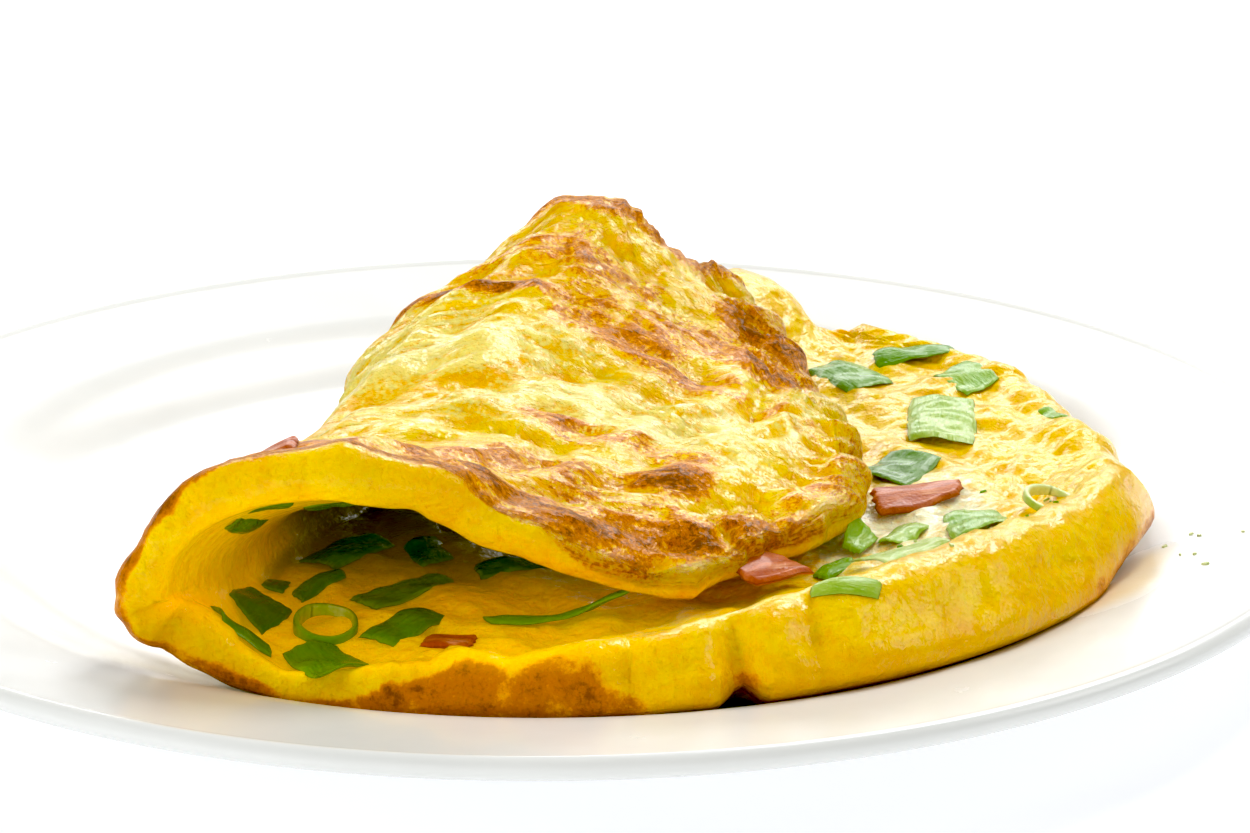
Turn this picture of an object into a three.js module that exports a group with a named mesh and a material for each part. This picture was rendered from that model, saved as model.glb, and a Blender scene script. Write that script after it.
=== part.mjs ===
import * as THREE from 'three';

// A folded omelette with its filling, on a round dinner plate.
// Lengths are in millimetres. X is to the right, Y runs from the open end of the roll to the back,
// and Z is up. The plate stands on Z = 0 with its centre on the Z axis.

const GAP = 0.35; // left between pieces that rest on each other

// Plate
const PLATE_RADIUS = 130;
const LIP_HEIGHT = 18;
const SHOULDER_RADIUS = 102; // where the wall of the well meets the rim
const SHOULDER_HEIGHT = 13;
const FLOOR_RADIUS = 86; // flat part of the well
const FLOOR_HEIGHT = 6;
const FOOT_RADIUS = 76; // middle of the foot ring
const FOOT_WIDTH = 5;
const PLATE_THICKNESS = 4;
const PLATE_SIDES = 56;

// Egg sheet
const LAYER_THICKNESS = 12.5; // open part of the lower layer
const ROLL_THICKNESS = 8.5; // round the fold and in the flap
const FLAP_THICKNESS = 8; // at the flap's free edge
const FLAP_CORNER = 4.5; // at its front corner
const FRONT_PUFF = 3; // added at the front edge of the lower layer
const FRONT_THIN = 3.5; // taken off that edge beside the fold
const FRONT_BULGE = 35; // how far the front edge bows out
const BACK_BULGE = -9;
const CURL_LIFT = 4.5; // wave in the sheet at the back edge
const CURL_SWELL = 9; // lump on top of that wave
const OUTER_RELIEF = 0.8;
const INNER_RELIEF = 0.7;
const ROWS = 34; // front to back
const LAYER_COLUMNS = 24; // across the lower layer
const LOOP_COLUMNS = 6; // in each quarter of the fold
const FLAP_COLUMNS = 19; // across the flap
const RIM_STEPS = 3; // round the edge of the sheet

// Filling
const REST = 0.45; // height of a piece above the face it lies on
const FEEL = 1.6; // the height under a point is the highest found within this distance
const LEAF_THICKNESS = 1.2;
const HAM_THICKNESS = 2.6;
const STALK_WALL = 1.3;
const SLAB_LENGTHS = 4;
const SLAB_WIDTHS = 3;
const RING_SIDES = 14;
// Leaf pieces on the lower layer: x, y, heading in degrees, length, width, arch, slant of the cut ends.
const LEAVES = [
  [52, 36, 105, 14, 10, 0.8, 0.2],
  [64, 44, 12, 16, 7, 0.6, 0.4],
  [72, 29, 125, 14, 9, 0.7, -0.2],
  [66, 9, 81, 26, 12, 1.2, 0.2],
  [57, -14, 49, 13, 10, 0.8, 0.1],
  [67, -43, 80, 13, 9, 0.8, 0.2],
  [85, 8, 110, 8, 3, 0.3, 0],
  [55.5, -44, 60, 12, 5, 0.6, 0.1],
  [48.5, -48, 65, 8, 3.5, 0.4, 0],
  [44, -56.5, 45, 9, 4, 0.5, 0.2],
  [54, -59, 30, 15, 7, 1.4, 0.2],
  [44, -84, 8, 12, 3.5, 0.3, 0],
  [3, -71, 6, 26, 3, 0.3, 0],
  [-32, -40, 46, 15, 9, 0.8, 0.2],
  [-35, -55, 53, 12, 4, 0.5, 0],
  [-19, -40, 108, 13, 7, 0.8, 0.1],
  [-6, -47, 20, 13, 7, 0.8, 0.2],
  [-22, -57, 40, 17, 7.5, 1, 0.3],
  [-21, -71.5, 45, 14, 7, 0.8, 0.2],
  [-42, -66, 67, 12, 8, 0.8, 0.1],
  [-43, -78.5, 12, 8, 6, 0.8, 0],
  [-31.5, -83, 108, 13, 9, 0.8, 0.2],
  [-41, -55, 80, 6, 3.5, 0.3, 0],
];
// Ham on the lower layer: x, y, heading in degrees, length, width.
const HAM = [
  [59, -29, 20, 19, 9],
  [34, -65, 25, 13, 7],
  [-14, -79, 165, 8, 4],
];
// Slices of hollow stalk: x, y, heading in degrees, radius, height, tilt in degrees.
const RINGS = [
  [80, -38, 60, 4.6, 2, 14],
  [-32.5, -71.3, 30, 5, 3, 14],
];
// Leaf pieces stuck inside the roll: a point in the hollow, the way to the face, heading, length, width
// and how far the back edge droops from the face.
const HUNG = [
  [[-38, -72, 25], [-1, 0, 0.7], [0.35, 0.85, -0.4], 16, 3, 0],
  [[-38, -80, 30], [-0.2, 0, 1], [0.9, 0.3, 0], 8, 4, 0],
  [[-29, -66, 28], [0, 0, 1], [1, 0.3, 0], 12, 8, 4],
];

const point = (x, y, z = 0) => new THREE.Vector3(x, y, z);
const guide = (...points) => new THREE.CatmullRomCurve3(points, false, 'catmullrom', 0.5);
const mix = (a, b, t) => a + (b - a) * t;
const clamp = (x) => Math.min(1, Math.max(0, x));
const smooth = (x) => clamp(x) * clamp(x) * (3 - 2 * clamp(x));
const bump = (x, centre, width) => Math.exp(-(((x - centre) / width) ** 2));

// Guide lines of the outer skin, each from the front end to the back end of the fold. The third
// number of the outline is how far the edge stands off the plate.
const OUTLINE = guide(
  point(94, -34, 2), point(92, -12, 3), point(86, 12, 4), point(77, 38, 5), point(60, 62, 5));
const FOLD = guide(
  point(-61.5, -83, 24), point(-51, -43, 20), point(-37.5, -6, 22), point(-33, 20, 25), point(-15, 48, 26));
const CREST = guide(
  point(-30, -81, 46), point(-25, -43, 35.5), point(-14, -8, 38), point(-3, 20, 43), point(6, 47, 51.5));
const FLAP_EDGE = guide(
  point(21, -72, 23.5), point(43, -48, 27), point(46, -20, 28), point(40, 8, 32), point(29, 40, 40));

// Height of the plate's upper face at a distance from its centre.
function plateTop(radius) {
  if (radius <= SHOULDER_RADIUS) {
    const climb = clamp((radius - FLOOR_RADIUS) / (SHOULDER_RADIUS - FLOOR_RADIUS));
    return FLOOR_HEIGHT + (SHOULDER_HEIGHT - FLOOR_HEIGHT) * climb ** 1.5;
  }
  const out = (radius - SHOULDER_RADIUS) / (PLATE_RADIUS - SHOULDER_RADIUS);
  return mix(SHOULDER_HEIGHT, LIP_HEIGHT, out);
}

function plateGeometry() {
  const profile = [];
  const go = (radius, height) => profile.push(new THREE.Vector2(radius, height));
  const foot = FOOT_WIDTH / 2;
  go(0, FLOOR_HEIGHT - PLATE_THICKNESS);
  go(FOOT_RADIUS - foot - 2, FLOOR_HEIGHT - PLATE_THICKNESS);
  go(FOOT_RADIUS - foot, 0.6);
  go(FOOT_RADIUS - foot + 0.8, 0);
  go(FOOT_RADIUS + foot - 0.8, 0);
  go(FOOT_RADIUS + foot, 0.6);
  go(FOOT_RADIUS + foot + 2, FLOOR_HEIGHT - PLATE_THICKNESS + 0.2);
  for (let i = 1; i <= 5; i += 1) {
    const radius = mix(FOOT_RADIUS + foot + 2, PLATE_RADIUS - 2, i / 5);
    go(radius, plateTop(radius - 1.5) - PLATE_THICKNESS + 0.8 * (i / 5));
  }
  go(PLATE_RADIUS, LIP_HEIGHT - 1.6);
  go(PLATE_RADIUS - 0.4, LIP_HEIGHT - 0.4);
  go(PLATE_RADIUS - 1.6, LIP_HEIGHT);
  for (let i = 2; i >= 0; i -= 1) {
    const radius = mix(SHOULDER_RADIUS, PLATE_RADIUS - 2, i / 3);
    go(radius, plateTop(radius));
  }
  for (let i = 5; i >= 0; i -= 1) {
    const radius = mix(FLOOR_RADIUS, SHOULDER_RADIUS, i / 6);
    go(radius, plateTop(radius));
  }
  go(0, FLOOR_HEIGHT);
  return new THREE.LatheGeometry(profile, PLATE_SIDES).rotateX(Math.PI / 2);
}

// Part runs 0 to 1 across the lower layer, 1 to 2 round the fold and 2 to 3 across the flap;
// along runs from the front to the back.
const curl = (part, along) => bump(part, 0.42, 0.13) * bump(along, 1, 0.13);

// Thickness of the sheet.
function thickness(part, along) {
  const open = mix(LAYER_THICKNESS, ROLL_THICKNESS, smooth((part - 0.25) / 0.5));
  const front = bump(along, 0, 0.08);
  const puff = FRONT_PUFF * front * smooth((part - 0.02) / 0.2) * smooth((0.8 - part) / 0.3);
  const thin = FRONT_THIN * front * bump(part, 0.95, 0.13);
  const end = (ROLL_THICKNESS - mix(FLAP_THICKNESS, FLAP_CORNER, bump(along, 0, 0.2))) * smooth(part - 2);
  return open + puff - thin - end + CURL_SWELL * curl(part, along);
}

// Wrinkles of the browned outer skin, as a height at a place in plan.
function outerRelief(p, part) {
  const patch = 0.5 + 0.5 * Math.sin(0.11 * p.x - 0.07 * p.y + 1);
  const across = Math.sin(0.4 * p.y + 0.1 * p.x + 2 * Math.sin(0.07 * p.x - 0.05 * p.y)) * patch;
  const slanted = Math.sin(0.45 * p.x - 0.25 * p.y + Math.sin(0.15 * p.y)) * (1 - patch);
  return OUTER_RELIEF * (across + slanted) * smooth((part - 1.3) / 0.4);
}

// Soft swellings of the inner face where it lies open.
function innerRelief(p, part) {
  const swell = Math.sin(0.3 * p.x + 0.8 * Math.sin(0.13 * p.y)) * Math.sin(0.26 * p.y + 0.1 * p.x);
  return INNER_RELIEF * swell * smooth((1.6 - part) / 0.4);
}

// One line of the outer skin, from the open edge of the lower layer round the fold to the flap's edge.
function skinLine(along) {
  const outline = OUTLINE.getPoint(along);
  const fold = FOLD.getPoint(along);
  const crest = CREST.getPoint(along);
  const edge = FLAP_EDGE.getPoint(along);
  const across = outline.clone().sub(fold).setZ(0);
  const span = across.length();
  across.normalize();
  const side = point(across.y, -across.x);
  const bow = mix(FRONT_BULGE, BACK_BULGE, 1 - (1 - along) ** 1.8);
  const turn = 0.8 * (fold.z - FLOOR_HEIGHT);
  const rest = (p) => GAP + plateTop(Math.hypot(p.x, p.y) + 2);
  const line = [];
  const lay = (distance) => {
    const s = distance / span;
    const part = (span - distance) / (span - turn);
    const p = fold.clone().addScaledVector(across, distance);
    p.addScaledVector(side, bow * Math.sin(Math.PI * s ** 1.15));
    p.z = rest(p) + outline.z * s ** 4 + CURL_LIFT * curl(part, along);
    return p;
  };
  for (let i = 0; i < LAYER_COLUMNS; i += 1) {
    line.push({ at: lay(mix(span, turn, i / LAYER_COLUMNS)), part: i / LAYER_COLUMNS });
  }
  for (let i = 0; i < LOOP_COLUMNS; i += 1) {
    const angle = (Math.PI / 2) * (i / LOOP_COLUMNS);
    const p = lay(turn * (1 - Math.sin(angle)));
    p.z = mix(fold.z, p.z, Math.cos(angle));
    line.push({ at: p, part: 1 + i / (2 * LOOP_COLUMNS) });
  }
  for (let i = 0; i < LOOP_COLUMNS; i += 1) {
    const angle = (Math.PI / 2) * (i / LOOP_COLUMNS);
    const p = fold.clone().lerp(crest, 1 - Math.cos(angle));
    p.z = mix(fold.z, crest.z, Math.sin(angle));
    line.push({ at: p, part: 1.5 + i / (2 * LOOP_COLUMNS) });
  }
  for (let i = 0; i <= FLAP_COLUMNS; i += 1) {
    const s = i / FLAP_COLUMNS;
    const p = crest.clone().lerp(edge, s);
    p.z = mix(crest.z, edge.z, smooth(s));
    line.push({ at: p, part: 2 + s });
  }
  return line;
}

// The sheet as one closed surface: outer skin, inner skin and a rounded edge between them.
function omeletteGeometry() {
  const skin = [];
  for (let row = 0; row <= ROWS; row += 1) {
    skin.push(skinLine(row / ROWS));
  }
  const columns = skin[0].length - 1;
  const at = (row, column) => skin[row][column].at;
  const inward = (row, column) => {
    const ahead = at(Math.min(row + 1, ROWS), column).clone().sub(at(Math.max(row - 1, 0), column));
    const over = at(row, Math.min(column + 1, columns)).clone().sub(at(row, Math.max(column - 1, 0)));
    return over.cross(ahead).normalize().negate();
  };
  const positions = [];
  const faces = [];
  const outer = [];
  const inner = [];
  const add = (p) => positions.push(p.x, p.y, p.z) / 3 - 1;
  for (let row = 0; row <= ROWS; row += 1) {
    outer.push([]);
    inner.push([]);
    for (let column = 0; column <= columns; column += 1) {
      const p = at(row, column);
      const part = skin[row][column].part;
      const depth = thickness(part, row / ROWS) + innerRelief(p, part);
      const normal = inward(row, column);
      outer[row].push(add(p.clone().addScaledVector(normal, -outerRelief(p, part))));
      inner[row].push(add(p.clone().addScaledVector(normal, depth)));
    }
  }
  const quad = (a, b, c, d) => faces.push(a, b, c, a, c, d);
  for (let row = 0; row < ROWS; row += 1) {
    for (let column = 0; column < columns; column += 1) {
      quad(outer[row][column], outer[row][column + 1], outer[row + 1][column + 1], outer[row + 1][column]);
      quad(inner[row][column], inner[row + 1][column], inner[row + 1][column + 1], inner[row][column + 1]);
    }
  }
  const border = [];
  for (let column = 0; column < columns; column += 1) {
    border.push([0, column]);
  }
  for (let row = 0; row < ROWS; row += 1) {
    border.push([row, columns]);
  }
  for (let column = columns; column > 0; column -= 1) {
    border.push([ROWS, column]);
  }
  for (let row = ROWS; row > 0; row -= 1) {
    border.push([row, 0]);
  }
  const arcs = border.map(([row, column]) => {
    const low = new THREE.Vector3().fromArray(positions, 3 * outer[row][column]);
    const high = new THREE.Vector3().fromArray(positions, 3 * inner[row][column]);
    const nextRow = row === 0 ? 1 : row === ROWS ? ROWS - 1 : row;
    const nextColumn = column === 0 ? 1 : column === columns ? columns - 1 : column;
    const out = at(row, column).clone().sub(at(nextRow, nextColumn)).normalize();
    const middle = low.clone().lerp(high, 0.5);
    const half = low.clone().sub(middle);
    const arc = [outer[row][column]];
    for (let step = 1; step < RIM_STEPS; step += 1) {
      const angle = (Math.PI * step) / RIM_STEPS;
      const p = middle.clone().addScaledVector(half, Math.cos(angle));
      arc.push(add(p.addScaledVector(out, half.length() * Math.sin(angle))));
    }
    arc.push(inner[row][column]);
    return arc;
  });
  arcs.forEach((arc, i) => {
    const next = arcs[(i + 1) % arcs.length];
    for (let step = 0; step < RIM_STEPS; step += 1) {
      quad(next[step], arc[step], arc[step + 1], next[step + 1]);
    }
  });
  const geometry = new THREE.BufferGeometry();
  geometry.setAttribute('position', new THREE.Float32BufferAttribute(positions, 3));
  geometry.setIndex(faces);
  return geometry;
}

// Meets the sheet along a direction: the last face met that looks back, or the first one.
const ray = new THREE.Raycaster();
function meet(sheet, from, toward, last) {
  ray.set(from, toward);
  const hits = ray.intersectObject(sheet);
  const hit = last ? hits[hits.length - 1] : hits[0];
  return hit ? hit.distance : null;
}

// A place for a piece: seen from origin along toward, with the piece's length along heading.
function seat(sheet, origin, toward, heading, last) {
  const up = toward.clone().normalize().negate();
  const ahead = heading.clone().addScaledVector(up, -heading.dot(up)).normalize();
  const aside = up.clone().cross(ahead);
  const at = (p, q) => origin.clone().addScaledVector(ahead, p).addScaledVector(aside, q);
  const along = up.clone().negate();
  let known = 0;
  const height = (p, q) => {
    const near = [[0, 0], [FEEL, 0], [-FEEL, 0], [0, FEEL], [0, -FEEL]];
    const distances = near.map(([dp, dq]) => meet(sheet, at(p + dp, q + dq), along, last));
    const found = distances.filter((distance) => distance !== null);
    known = found.length ? -Math.min(...found) : known;
    return known;
  };
  return { up, at, height };
}

const onLayer = (sheet, x, y, turn) => {
  const angle = THREE.MathUtils.degToRad(turn);
  return seat(sheet, point(x, y, 90), point(0, 0, -1), point(Math.cos(angle), Math.sin(angle)), true);
};

// A thin slab that follows the face it lies on, arched across its width. One long edge can droop from it.
function slabGeometry(place, { length, width, thick, arch, slant, droop = 0 }) {
  const positions = [];
  const faces = [];
  const under = [];
  const over = [];
  const add = (p) => positions.push(p.x, p.y, p.z) / 3 - 1;
  for (let i = 0; i <= SLAB_LENGTHS; i += 1) {
    under.push([]);
    over.push([]);
    for (let j = 0; j <= SLAB_WIDTHS; j += 1) {
      const s = (2 * i) / SLAB_LENGTHS - 1;
      const t = (2 * j) / SLAB_WIDTHS - 1;
      const q = (width / 2) * t * (1 - 0.12 * s * s);
      const p = (length / 2) * s * (1 - 0.1 * t * t) + slant * q;
      const low = place.height(p, q) + REST + arch * (1 - t * t) + (droop * (1 - t)) / 2;
      under[i].push(add(place.at(p, q).addScaledVector(place.up, low)));
      over[i].push(add(place.at(p * 0.96, q * 0.94).addScaledVector(place.up, low + thick)));
    }
  }
  const quad = (a, b, c, d) => faces.push(a, b, c, a, c, d);
  for (let i = 0; i < SLAB_LENGTHS; i += 1) {
    for (let j = 0; j < SLAB_WIDTHS; j += 1) {
      quad(under[i][j], under[i][j + 1], under[i + 1][j + 1], under[i + 1][j]);
      quad(over[i][j], over[i + 1][j], over[i + 1][j + 1], over[i][j + 1]);
    }
    quad(under[i][0], under[i + 1][0], over[i + 1][0], over[i][0]);
    quad(under[i + 1][SLAB_WIDTHS], under[i][SLAB_WIDTHS], over[i][SLAB_WIDTHS], over[i + 1][SLAB_WIDTHS]);
  }
  for (let j = 0; j < SLAB_WIDTHS; j += 1) {
    quad(under[0][j + 1], under[0][j], over[0][j], over[0][j + 1]);
    quad(under[SLAB_LENGTHS][j], under[SLAB_LENGTHS][j + 1], over[SLAB_LENGTHS][j + 1], over[SLAB_LENGTHS][j]);
  }
  const geometry = new THREE.BufferGeometry();
  geometry.setAttribute('position', new THREE.Float32BufferAttribute(positions, 3));
  geometry.setIndex(faces);
  return geometry;
}

// A slice of hollow stalk, tilted and set down on the face below it.
function ringGeometry(place, { radius, wall, height, tilt }) {
  const bevel = wall / 4;
  const corners = [
    [radius, bevel], [radius, height - bevel], [radius - bevel, height], [radius - wall + bevel, height],
    [radius - wall, height - bevel], [radius - wall, bevel], [radius - wall + bevel, 0], [radius - bevel, 0],
    [radius, bevel],
  ];
  const profile = corners.map(([r, h]) => new THREE.Vector2(r, h));
  const geometry = new THREE.LatheGeometry(profile, RING_SIDES).rotateX(Math.PI / 2);
  geometry.rotateX(THREE.MathUtils.degToRad(tilt));
  const vertices = geometry.getAttribute('position');
  let lift = -Infinity;
  for (let i = 0; i < vertices.count; i += 1) {
    const p = vertices.getX(i);
    const q = vertices.getY(i);
    lift = Math.max(lift, place.height(p, q) + REST - vertices.getZ(i));
  }
  for (let i = 0; i < vertices.count; i += 1) {
    const p = place.at(vertices.getX(i), vertices.getY(i));
    p.addScaledVector(place.up, vertices.getZ(i) + lift);
    vertices.setXYZ(i, p.x, p.y, p.z);
  }
  return geometry;
}

const material = (color, roughness) => new THREE.MeshStandardMaterial({ color, roughness, metalness: 0 });
const glaze = material('#f4f3ef', 0.12);
const egg = material('#e8b21c', 0.45);
const leaf = material('#3f7d1e', 0.35);
const meat = material('#c25a4a', 0.4);

const group = new THREE.Group();
function place(name, geometry, surface) {
  const mesh = new THREE.Mesh(geometry, surface);
  mesh.name = name;
  group.add(mesh);
  return mesh;
}
place('plate', plateGeometry(), glaze);
const sheet = place('omelette', omeletteGeometry(), egg);
LEAVES.forEach(([x, y, turn, length, width, arch, slant], i) => {
  const slab = { length, width, thick: LEAF_THICKNESS, arch, slant };
  place(`scallion_${i + 1}`, slabGeometry(onLayer(sheet, x, y, turn), slab), leaf);
});
HAM.forEach(([x, y, turn, length, width], i) => {
  const slab = { length, width, thick: HAM_THICKNESS, arch: 0, slant: 0.15 };
  place(`ham_${i + 1}`, slabGeometry(onLayer(sheet, x, y, turn), slab), meat);
});
RINGS.forEach(([x, y, turn, radius, height, tilt], i) => {
  const ring = { radius, wall: STALK_WALL, height, tilt };
  place(`ring_${i + 1}`, ringGeometry(onLayer(sheet, x, y, turn), ring), leaf);
});
HUNG.forEach(([from, toward, heading, length, width, droop], i) => {
  const seatInRoll = seat(sheet, point(...from), point(...toward), point(...heading), false);
  const slab = { length, width, thick: LEAF_THICKNESS, arch: 0.4, slant: 0.1, droop };
  place(`scallion_roof_${i + 1}`, slabGeometry(seatInRoll, slab), leaf);
});
const skinSeat = seat(sheet, point(-41, -73, 70), point(0, 0, -1), point(1, 0.1, 0), false);
const skinHam = { length: 11, width: 5, thick: 0.8, arch: 0, slant: 0.2 };
place('ham_on_skin', slabGeometry(skinSeat, skinHam), meat);

export default group;
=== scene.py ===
import functools
import itertools
import math

import bpy
import numpy as np
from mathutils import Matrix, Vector
from mathutils.bvhtree import BVHTree


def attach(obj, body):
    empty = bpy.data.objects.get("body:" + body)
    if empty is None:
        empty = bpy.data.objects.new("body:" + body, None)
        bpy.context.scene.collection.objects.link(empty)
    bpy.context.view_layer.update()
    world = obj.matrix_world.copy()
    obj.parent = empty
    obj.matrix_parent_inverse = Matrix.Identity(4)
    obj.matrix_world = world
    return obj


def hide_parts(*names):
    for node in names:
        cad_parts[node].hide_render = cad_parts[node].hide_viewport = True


# A folded omelette with scallion and ham on a round white plate.
# Shapes are worked out in millimetres and turned into metres where a mesh is made.
# X is to the right, Y runs from the open end of the roll to the back, Z is up.

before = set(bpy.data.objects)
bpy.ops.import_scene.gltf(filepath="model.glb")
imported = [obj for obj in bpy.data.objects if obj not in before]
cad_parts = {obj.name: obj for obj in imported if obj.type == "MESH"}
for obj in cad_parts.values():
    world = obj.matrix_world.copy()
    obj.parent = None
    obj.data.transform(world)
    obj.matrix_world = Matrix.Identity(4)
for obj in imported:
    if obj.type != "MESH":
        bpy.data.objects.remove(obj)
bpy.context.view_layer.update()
MM = 0.001

# Plate, as in the CAD
PLATE_RADIUS = 130
LIP_HEIGHT = 18
SHOULDER_RADIUS = 102
SHOULDER_HEIGHT = 13
FLOOR_RADIUS = 86
FLOOR_HEIGHT = 6
FOOT_RADIUS = 76
FOOT_WIDTH = 5
PLATE_THICKNESS = 4
PLATE_SIDES = 288
SHOULDER_SOFT = 4  # rounding of the well's edge
LIP_ROUNDING = 1.7
FOOT_ROUNDING = 0.8

# Egg sheet, as in the CAD
GAP = 0.35
LAYER_THICKNESS = 12.5
ROLL_THICKNESS = 8.5
FLAP_THICKNESS = 8
FLAP_CORNER = 4.5
FRONT_PUFF = 3
FRONT_THIN = 3.5
FRONT_BULGE = 35
BACK_BULGE = -9
CURL_LIFT = 4.5
CURL_SWELL = 9
OUTER_RELIEF = 0.8
INNER_RELIEF = 0.7

# Forms of the fine egg sheet alone
TOP = 50.8  # highest point
TOP_ROUNDING = 1.2
ON_PLATE = 0.1  # least height of the rim over the plate
MOST_SETTLING = 3  # how far the front edge may sink to meet the plate
FOOT_REACH = 5  # how far the foot of the front edge spreads
NOTCH = 0.535  # part at which the front edge is torn
NOTCH_WIDTH = 0.016
NOTCH_HEIGHT = 3.4
NOTCH_DEPTH = 2.6
CREASE_PARTS = (0.64, 0.455)  # where creases run down the front edge
CREASE_DEPTH = 1.4
CREASE_WIDTH = 0.01

# Mesh of the fine egg sheet
ROWS = 172
COLUMNS = (120, 56, 72)  # of the lower layer, round the fold and of the flap
RIM_STEPS = 12
SMOOTHING = 120  # rounds that soften the lower layer's normals
WIDTHS = (130, 50, 65)  # of the same three, along the skin
SHEET_DEPTH = 140  # front to back along the skin


# Small maths

def mix(a, b, t):
    return a + (b - a) * t


def clamp(x):
    return np.clip(x, 0.0, 1.0)


def smooth(x):
    x = clamp(x)
    return x * x * (3 - 2 * x)


def rise(x, start, width):
    """From 0 at start to 1 a width further."""
    return smooth((x - start) / width)


def fall(x, end, width):
    """From 1 a width before end to 0 at end."""
    return smooth((end - x) / width)


def bump(x, centre, width):
    return np.exp(-(((x - centre) / width) ** 2))


def length(v):
    return np.linalg.norm(v, axis=-1, keepdims=True)


def unit(v):
    return v / np.maximum(length(v), 1e-9)


def xyz(x, y, z):
    return np.stack(np.broadcast_arrays(x, y, z), axis=-1).astype(float)


def guide(*points):
    """A smooth line through points, asked for its place from 0, the front end, to 1, the back end."""
    p = np.array(points, float)
    p = np.vstack([2 * p[0] - p[1], p, 2 * p[-1] - p[-2]])

    def at(t):
        t = clamp(np.asarray(t, float)) * (len(points) - 1)
        i = np.minimum(t.astype(int), len(points) - 2)
        w = (t - i)[..., None]
        before, start, end, after = p[i], p[i + 1], p[i + 2], p[i + 3]
        leave = (end - before) / 2
        arrive = (after - start) / 2
        square = 3 * (end - start) - 2 * leave - arrive
        cube = 2 * (start - end) + leave + arrive
        return start + leave * w + square * w**2 + cube * w**3

    return at


def full_turn(count):
    """Angles evenly spaced round a circle."""
    return np.linspace(0, 2 * np.pi, count, endpoint=False)


def quads(*corners):
    """Quads from grids of the numbers of their four corners."""
    return np.stack(corners, -1).reshape(-1, 4)


def grid(rows, columns):
    """Numbers of the points of a grid, and its quads."""
    number = np.arange(rows * columns).reshape(rows, columns)
    return number, quads(number[:-1, :-1], number[:-1, 1:], number[1:, 1:], number[1:, :-1])


def flipped(faces):
    return faces[:, [0, 3, 2, 1]]


def joined(*grids):
    """The points of several grids in one list."""
    return np.concatenate([points.reshape(-1, 3) for points in grids])


def border_loop(rows, columns):
    """Row and column of each place round the edge of a grid, front edge first."""
    r, c = rows - 1, columns - 1
    places = [(0, k) for k in range(c)] + [(k, c) for k in range(r)]
    places += [(r, k) for k in range(c, 0, -1)] + [(k, 0) for k in range(r, 0, -1)]
    return tuple(np.array(places).T)


DRAW = np.random.default_rng(11)
SHUFFLE = DRAW.permutation(256)
SLOPES = unit(DRAW.normal(size=(256, 3)))


def cloud(p, size, seed=0):
    """A smooth random field from about -1 to 1, with swellings as large as size; seed picks the pattern."""
    q = np.asarray(p, float) / size + 19.7 * seed
    cell = np.floor(q).astype(int)
    f = q - cell
    ease = f**3 * (f * (6 * f - 15) + 10)
    total = 0
    for corner in itertools.product((0, 1), repeat=3):
        c = cell + np.array(corner)
        pick = 0
        for axis in range(3):
            pick = SHUFFLE[(pick + c[..., axis]) & 255]
        weight = np.prod(np.where(corner, ease, 1 - ease), axis=-1)
        total = total + weight * ((f - corner) * SLOPES[pick]).sum(-1)
    return 1.6 * total


def creases(p, size, seed=0):
    """Soft ridges between sharp valleys, from about -1 to 1."""
    return 1 - 3.2 * np.sqrt(cloud(p, size, seed) ** 2 + 0.004)


# Shape of the egg sheet: part runs 0 to 1 across the lower layer, 1 to 2 round the fold and 2 to 3
# across the flap, and along runs from the front to the back.

OUTLINE = guide((94, -34, 2), (92, -12, 3), (86, 12, 4), (77, 38, 5), (60, 62, 5))
FOLD = guide((-61.5, -83, 24), (-51, -43, 20), (-37.5, -6, 22), (-33, 20, 25), (-15, 48, 26))
CREST = guide((-30, -81, 46), (-25, -43, 35.5), (-14, -8, 38), (-3, 20, 43), (6, 47, 51.5))
FLAP_EDGE = guide((21, -72, 23.5), (43, -48, 27), (46, -20, 28), (40, 8, 32), (29, 40, 40))


def plate_top(radius):
    climb = clamp((radius - FLOOR_RADIUS) / (SHOULDER_RADIUS - FLOOR_RADIUS))
    well = FLOOR_HEIGHT + (SHOULDER_HEIGHT - FLOOR_HEIGHT) * climb**1.5
    rim = mix(SHOULDER_HEIGHT, LIP_HEIGHT, (radius - SHOULDER_RADIUS) / (PLATE_RADIUS - SHOULDER_RADIUS))
    return np.where(radius <= SHOULDER_RADIUS, well, rim)


def plate_under(p, beyond=0):
    """Height of the plate's top under points, or a little further out than they are."""
    return plate_top(np.hypot(p[..., 0], p[..., 1]) + beyond)


def soft_plate_top(radius):
    """The plate's top with the well's edge rounded, as the fine plate has it."""
    nearby = np.linspace(-SHOULDER_SOFT, SHOULDER_SOFT, 9)
    return np.mean([plate_top(radius + step) for step in nearby], axis=0)


def curl(part, along):
    return bump(part, 0.42, 0.13) * bump(along, 1, 0.13)


def thickness(part, along):
    open_layer = mix(LAYER_THICKNESS, ROLL_THICKNESS, rise(part, 0.25, 0.5))
    front = bump(along, 0, 0.08)
    puff = FRONT_PUFF * front * rise(part, 0.02, 0.2) * fall(part, 0.8, 0.3)
    thin = FRONT_THIN * front * bump(part, 0.95, 0.13)
    end = (ROLL_THICKNESS - mix(FLAP_THICKNESS, FLAP_CORNER, bump(along, 0, 0.2))) * smooth(part - 2)
    return open_layer + puff - thin - end + CURL_SWELL * curl(part, along)


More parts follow.
